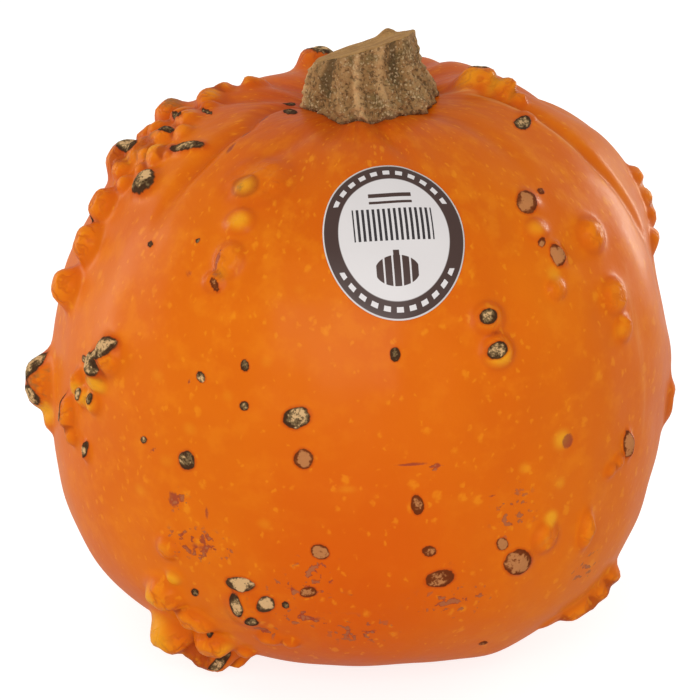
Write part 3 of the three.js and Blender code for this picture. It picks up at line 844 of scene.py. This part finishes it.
# A grid of turns and levels: under the foot from the middle out, up the side, then over the cut face to its
# middle. The side and the cut face are roughened by ripples.
def makeStem():
    around, levels = stem["around"], stem["levels"]
    turn = np.arange(around) / around * 360
    t = np.radians(turn)
    usual = stem["usualHeight"]
    footRadius = stemRadius(turn, np.zeros(around), usual)
    footZ = rindHeight(*placesRound(stem["centreX"], footRadius, t)) + 0.1
    edgeX, edgeY = placesRound(stem["centreX"], stemRadius(turn, np.full(around, usual), usual), t)
    tall = cutHeight(edgeX + stem["lean"], edgeY) - footZ
    rows = []
    for part in stem["underParts"]:
        x, y = placesRound(stem["centreX"], footRadius * part, t)
        rows.append(np.stack([x, y, rindHeight(x, y) - 1.2 + 0.6 * part], -1))
    for level in range(levels):
        part = level / (levels - 1)
        rise = part * tall
        radius = stemRadius(turn, rise, tall)
        centreX = stem["centreX"] + stem["lean"] * part
        place = np.stack([*placesRound(centreX, radius, t), footZ + rise], -1)
        rough = 0.42 * ripple(place, 1.7, 11) + 0.4 * ripple(place * np.array([1, 1, 0.6]), 3.4, 12)
        radius = radius + rough * (1.4 - part) * np.clip((1 - part) * 8, 0.35, 1)
        x, y = placesRound(centreX, radius, t)
        z = np.minimum(footZ + rise, cutHeight(x, y) - 0.25 * part ** 12)
        rows.append(np.stack([x, y, z], -1))
    topX = stem["centreX"] + stem["lean"]
    edgeX, edgeY = rows[-1][:, 0] - topX, rows[-1][:, 1] - stem["centreY"]
    knobX, knobY, knobWidth, knobDepth, knobHeight = stem["knob"]
    for part in stem["cutParts"]:
        x, y = topX + edgeX * part, stem["centreY"] + edgeY * part
        place = np.stack([x, y, np.zeros(around)], -1)
        z = cutHeight(x, y) + 0.22 * ripple(place, 5.0, 14) * (1 - part) ** 0.3 - 0.5 * (1 - part) ** 2
        knob = knobHeight * np.exp(-(((x - knobX) / knobWidth) ** 2) - ((y - knobY) / knobDepth) ** 2)
        rows.append(np.stack([x, y, z + knob], -1))
    grid = np.concatenate(rows)
    count = len(rows)
    middle = np.stack([grid[:around].mean(0), grid[-around:].mean(0)])
    points = np.concatenate([grid, middle]) + np.array([0, 0, rind["centreHeight"]])
    ring = np.arange(around)
    nextRing = (ring + 1) % around
    last = (count - 1) * around
    bottomFan = np.stack([np.full(around, count * around), nextRing, ring], -1)
    topFan = np.stack([np.full(around, count * around + 1), last + ring, last + nextRing], -1)
    faces = [*ringQuads(count, around).tolist(), *bottomFan.tolist(), *topFan.tolist()]
    piece = makeMesh("stemWood", points, faces, ["stem"], stemMaterial())
    turns = np.concatenate([np.tile(turn, count), [0, 0]])
    under, over = len(stem["underParts"]) * around, len(stem["cutParts"]) * around
    upward = np.repeat(np.arange(levels) / (levels - 1), around)
    parts = np.concatenate([np.zeros(under), upward, np.ones(over), [0, 1]])
    cut = np.concatenate([np.zeros(under + (levels - 1) * around), np.ones(over + around), [0, 1]])
    ridge = ridgeHeight(turns, parts) / 1.6
    # Where the furrows lie; the material darkens them as painted shade
    furrow = np.clip(-2 * ridge, 0, 1) * np.clip(parts * 2.2 - 0.3, 0, 1)
    t = np.radians(turns)
    wide, high = stem["grainAround"], stem["grainUp"]
    grain = np.stack([np.sin(t) * wide, -np.cos(t) * wide, parts * high], -1) * mm
    addFields(piece, ridge=np.clip(ridge, 0, 1), furrow=furrow, rise=parts, cut=cut, grain=grain)
    return piece


woodLook = {
    "ridge": paint(212, 172, 120),
    "flank": paint(194, 152, 102),
    "furrow": paint(152, 114, 70),
    "shade": paint(108, 90, 52),
    # Painted shade deep in the furrows
    "furrowShade": paint(74, 58, 34),
    "foot": paint(104, 62, 38),
    "speckPale": paint(236, 202, 154),
    "speckDark": paint(84, 64, 40),
    "cutFace": paint(192, 146, 88),
    "cutDark": paint(160, 114, 66),
    "roughness": 0.84,
    "specular": 0.25,
    "index": 1.4,
    "speckDrift": (0.0007, 0.0007, 0.0007),
}


def stemMaterial():
    look = woodLook
    material, tree, shader = newMaterial("corkyStalk")
    places = node(tree, "ShaderNodeTexCoord", {}, {}, 3)
    grain = readField(tree, "grain", 1)
    ridge, furrow, rise, cut = readFields(tree, "ridge", "furrow", "rise", "cut")
    # Ridges paler than the furrows between them, with stripes along the stalk, dark patches, and painted shade
    # deep in the furrows
    stripes = noise(tree, stretched(tree, grain, (1.0, 1.0, 0.28)), 420.0, 3.0, 0.6)
    crumbs = noise(tree, places, 900.0, 3.0, 0.7)
    patches = noise(tree, places, 150.0, 3.0, 0.6)
    high = (ridge * 0.7 + (stripes - 0.5) * 1.2 + (crumbs - 0.5) * 0.9 + (patches - 0.5) * 0.8).step(-0.1, 0.7)
    colour = mixed(tree, high, look["furrow"], look["flank"])
    crest = (ridge + (stripes - 0.5) * 0.9 - (crumbs - 0.5) * 0.6).step(0.6, 1.1)
    colour = mixed(tree, crest * 0.8, colour, look["ridge"])
    low = (patches + (crumbs - 0.5) * 0.6).step(0.5, 0.7) * (1 - ridge.step(0.3, 0.9))
    colour = mixed(tree, low * 0.75, colour, look["shade"])
    # Painted shade deep in the furrows
    sunkShade = (furrow + (crumbs - 0.5) * 1.8 + (patches - 0.5) * 1.4).step(0.25, 0.9)
    colour = mixed(tree, sunkShade * 0.75, colour, look["furrowShade"])
    foot = (1 - rise + (patches - 0.5) * 0.1).step(0.93, 1.0)
    colour = mixed(tree, foot * 0.7, colour, look["foot"])
    # Dark crumbs, pale specks of cork and the plainer cut face
    astray = strayed(tree, places, 1500.0, look["speckDrift"])
    specks = node(tree, "ShaderNodeTexVoronoi", {}, {"Vector": astray, "Scale": 1150.0})
    darkSpeck = (1 - crumbs.step(0.36, 0.46)) * (1 - ridge * 0.5)
    colour = mixed(tree, darkSpeck * 0.7, colour, look["speckDark"])
    paleSpeck = (crumbs * 0.9 - 0.06 - specks + (patches - 0.5) * 0.7).step(0.0, 0.24) * (0.95 - rise * 0.35)
    colour = mixed(tree, paleSpeck * 0.52, colour, look["speckPale"])
    face = mixed(tree, noise(tree, places, 260.0, 3.0).step(0.4, 0.7) * 0.7, look["cutFace"], look["cutDark"])
    colour = mixed(tree, cut.step(0.4, 0.6), colour, face)
    normal = bumped(tree, crumbs + stripes * 0.8 + paleSpeck * 0.5 - darkSpeck * 0.4, 0.8, 0.0007)
    feed(tree, shader, Base_Color=colour, Roughness=look["roughness"] + (crumbs - 0.5) * 0.2, Normal=normal)
    feed(tree, shader, Specular_IOR_Level=look["specular"], IOR=look["index"])
    return material


label = {
    "bearing": 7.5,
    "angle": 42.5,
    "halfWidth": 16.3,
    "halfLength": 20.4,
    "lift": 0.35,
    "thickness": 0.2,
    "around": 180,
    "rings": 26,
    "edgeStart": 0.93,  # part of the way out from which the rim bends down, how wide that is and how far it bends
    "edgeWidth": 0.07,
    "edgeDrop": 0.08,
}


# Polar grid over the oval: each point of its plane is carried along its own direction to the rind plus the lift.
# The same grid lies under it by the paper's thickness, and a wall joins the two.
def makeLabel():
    out, up = directionOf(label["bearing"], label["angle"]), directionOf(label["bearing"], label["angle"] + 90)
    aside = np.cross(up, out)
    middle = out * rindRadius(out[None])[0]
    around, rings = label["around"], label["rings"]
    turn = np.arange(around) / around * 2 * np.pi
    part = np.linspace(0, 1, rings + 1)[1:]
    across = (part[:, None] * np.cos(turn)).ravel()
    along = (part[:, None] * np.sin(turn)).ravel()
    across, along = np.append(across, 0.0), np.append(along, 0.0)
    flat = middle + np.outer(across * label["halfWidth"], aside) + np.outer(along * label["halfLength"], up)
    unit = flat / np.linalg.norm(flat, axis=1, keepdims=True)
    radius = rindRadius(unit)
    radius = radius + unevenness(unit * radius[:, None])
    edge = np.clip((np.hypot(across, along) - label["edgeStart"]) / label["edgeWidth"], 0, 1)
    upper = unit * (radius + label["lift"] - label["edgeDrop"] * edge)[:, None]
    lower = unit * (radius + label["lift"] - label["thickness"])[:, None]
    points = np.concatenate([upper, lower]) + np.array([0, 0, rind["centreHeight"]])
    top = ringQuads(rings, around)[:, [0, 3, 2, 1]]
    first = np.arange(around)
    following = (first + 1) % around
    centre = rings * around
    fan = np.stack([np.full(around, centre), first, following], -1)
    under = len(upper)
    rim = (rings - 1) * around
    wall = np.stack([rim + first, under + rim + first, under + rim + following, rim + following], -1)
    faces = [*top.tolist(), *(top[:, ::-1] + under).tolist(), *fan.tolist(), *(fan[:, ::-1] + under).tolist(),
             *wall.tolist()]
    piece = makeMesh("labelPaper", points, faces, ["label"], labelMaterial())
    addFields(piece, print=np.stack([np.tile(across, 2), np.tile(along, 2), np.zeros(len(points))], -1))
    return piece


labelLook = {
    "paper": paint(226, 220, 218),
    "ink": paint(66, 42, 34),
    "barInk": paint(40, 34, 36),
    "ringInner": 0.775,
    "barsAcross": 13.5,
    "dashesAround": 30,
    "ribsAcross": 8.2,
    "roughness": 0.42,
}


# 1 where a value is nearer to zero than the first number, 0 past the second
def within(value, near, far):
    return 1 - value.math("ABSOLUTE").step(near, far)


# A brown ring with light dashes, two rules, an even row of bars, and a ribbed gourd with its stalk
def labelMaterial():
    look = labelLook
    material, tree, shader = newMaterial("stickerPaper")
    spot = readField(tree, "print", 1)
    split = tree.nodes.new("ShaderNodeSeparateXYZ")
    tree.links.new(spot.socket, split.inputs[0])
    x, y = Wire(tree, split.outputs[0]), Wire(tree, split.outputs[1])
    away = (x * x + y * y) ** 0.5
    ring = away.step(look["ringInner"] - 0.008, look["ringInner"] + 0.008) * (1 - away.step(0.975, 0.985))
    turn = y.math("ARCTAN2", x) * (look["dashesAround"] / (2 * np.pi))
    dash = turn.math("FRACT").math("COMPARE", 0.5, 0.27) * away.math("COMPARE", 0.875, 0.032)
    dash = dash * y.math("ABSOLUTE").step(0.4, 0.41)
    bar = (x * look["barsAcross"]).math("FRACT").math("COMPARE", 0.5, 0.26)
    block = within(x, 0.555, 0.56) * within(y - 0.14, 0.2, 0.206)
    ribs = (x * look["ribsAcross"]).math("ABSOLUTE").math("FRACT").math("COMPARE", 0.5, 0.1)
    gourd = 1 - ((x * x / 0.1 + (y + 0.42) * (y + 0.42) / 0.034) ** 0.5).step(0.98, 1.0)
    stalk = within(x, 0.04, 0.045) * within(y + 0.22, 0.04, 0.044)
    rules = within(x, 0.3, 0.305) * y.math("COMPARE", 0.53, 0.028).most(y.math("COMPARE", 0.43, 0.018))
    motif = (gourd * (1 - ribs)).most(stalk).most(rules)
    inked = (ring * (1 - dash)).most(motif)
    colour = mixed(tree, inked, look["paper"], look["ink"])
    colour = mixed(tree, bar * block, colour, look["barInk"])
    fibre = noise(tree, spot, 60.0, 3.0)
    feed(tree, shader, Base_Color=colour, Roughness=look["roughness"] + (fibre - 0.5) * 0.1)
    feed(tree, shader, Normal=bumped(tree, fibre, 0.05, 0.0002))
    return material


makeFruit()
print("fruit made")
makeStem()
print("stem made")
makeLabel()
print("label made")

studio = {
    "cameraElevation": 19.0,
    "cameraDistance": 1.0,
    "lens": 212.7,
    "sensorWidth": 36,
    "bodyAside": 2.37,  # how far the fruit's centre stands right of and below the picture's middle, in millimetres
    "bodyBelow": 5.8,
    "worldStrength": 0.58,
    "floorSize": 8,  # this and the lamps are in metres
    "floorGlow": 0.3,
    "floorSeen": 0.5,
    "lampAim": (0, 0, 0.07),
    "lamps": [  # name, place, size, power in watts, colour
        ("softKey", (-0.1, -1.25, 0.55), (0.9, 0.9), 7.6, (1, 1, 1)),
        ("leftSheet", (-0.85, 0.35, 0.2), (0.25, 0.8), 3.6, (1, 0.93, 0.74)),
        ("rightStrip", (0.72, 0.72, 0.12), (0.08, 0.7), 5, (1, 0.94, 0.78)),
    ],
}


def addLamp(name, place, size, power, colour):
    lamp = bpy.data.lights.new(name, "AREA")
    lamp.shape, lamp.size, lamp.size_y = "RECTANGLE", size[0], size[1]
    lamp.energy, lamp.color = power, colour
    holder = bpy.data.objects.new(name, lamp)
    holder.location = place
    holder.rotation_euler = (Vector(studio["lampAim"]) - Vector(place)).to_track_quat("-Z", "Y").to_euler()
    bpy.context.collection.objects.link(holder)


# A floor and a world that look whiter to the camera than they shine on the fruit, and three lamps
def makeStudio():
    floorMaterial, tree, shader = newMaterial("paleFloor")
    seen = node(tree, "ShaderNodeLightPath", {}, {}, 0)
    feed(tree, shader, Base_Color=(0.4, 0.4, 0.4, 1), Roughness=0.9, Emission_Color=(1, 1, 1, 1))
    feed(tree, shader, Emission_Strength=studio["floorGlow"] + seen * studio["floorSeen"])
    bpy.ops.mesh.primitive_plane_add(size=studio["floorSize"], location=(0, 0, -0.0002))
    floor = bpy.context.object
    floor.name = "studioFloor"
    floor.data.materials.append(floorMaterial)
    world = bpy.data.worlds.new("paleWorld")
    world.use_nodes = True
    tree = world.node_tree
    seen = node(tree, "ShaderNodeLightPath", {}, {}, 0)
    strength = studio["worldStrength"] + seen * (1 - studio["worldStrength"])
    tree.links.new(strength.socket, tree.nodes["Background"].inputs[1])
    tree.nodes["Background"].inputs[0].default_value = (1, 1, 1, 1)
    bpy.context.scene.world = world
    for lamp in studio["lamps"]:
        addLamp(*lamp)
    bpy.context.scene.view_settings.view_transform = "Standard"


def makeCamera():
    camera = bpy.data.objects.new("camera", bpy.data.cameras.new("camera"))
    bpy.context.collection.objects.link(camera)
    elevation = np.radians(studio["cameraElevation"])
    back = Vector((0, -np.cos(elevation), np.sin(elevation)))
    up = Vector((0, np.sin(elevation), np.cos(elevation)))
    right = Vector((1, 0, 0))
    centre = Vector((0, 0, rind["centreHeight"] * mm))
    shift = up * studio["bodyBelow"] * mm - right * studio["bodyAside"] * mm
    place = centre + back * studio["cameraDistance"] + shift
    camera.matrix_world = Matrix.Translation(place) @ Matrix((right, up, back)).transposed().to_4x4()
    camera.data.lens = studio["lens"]
    camera.data.sensor_width = studio["sensorWidth"]
    camera.data.clip_end = 20
    bpy.context.scene.camera = camera


makeStudio()
makeCamera()
print("studio made")
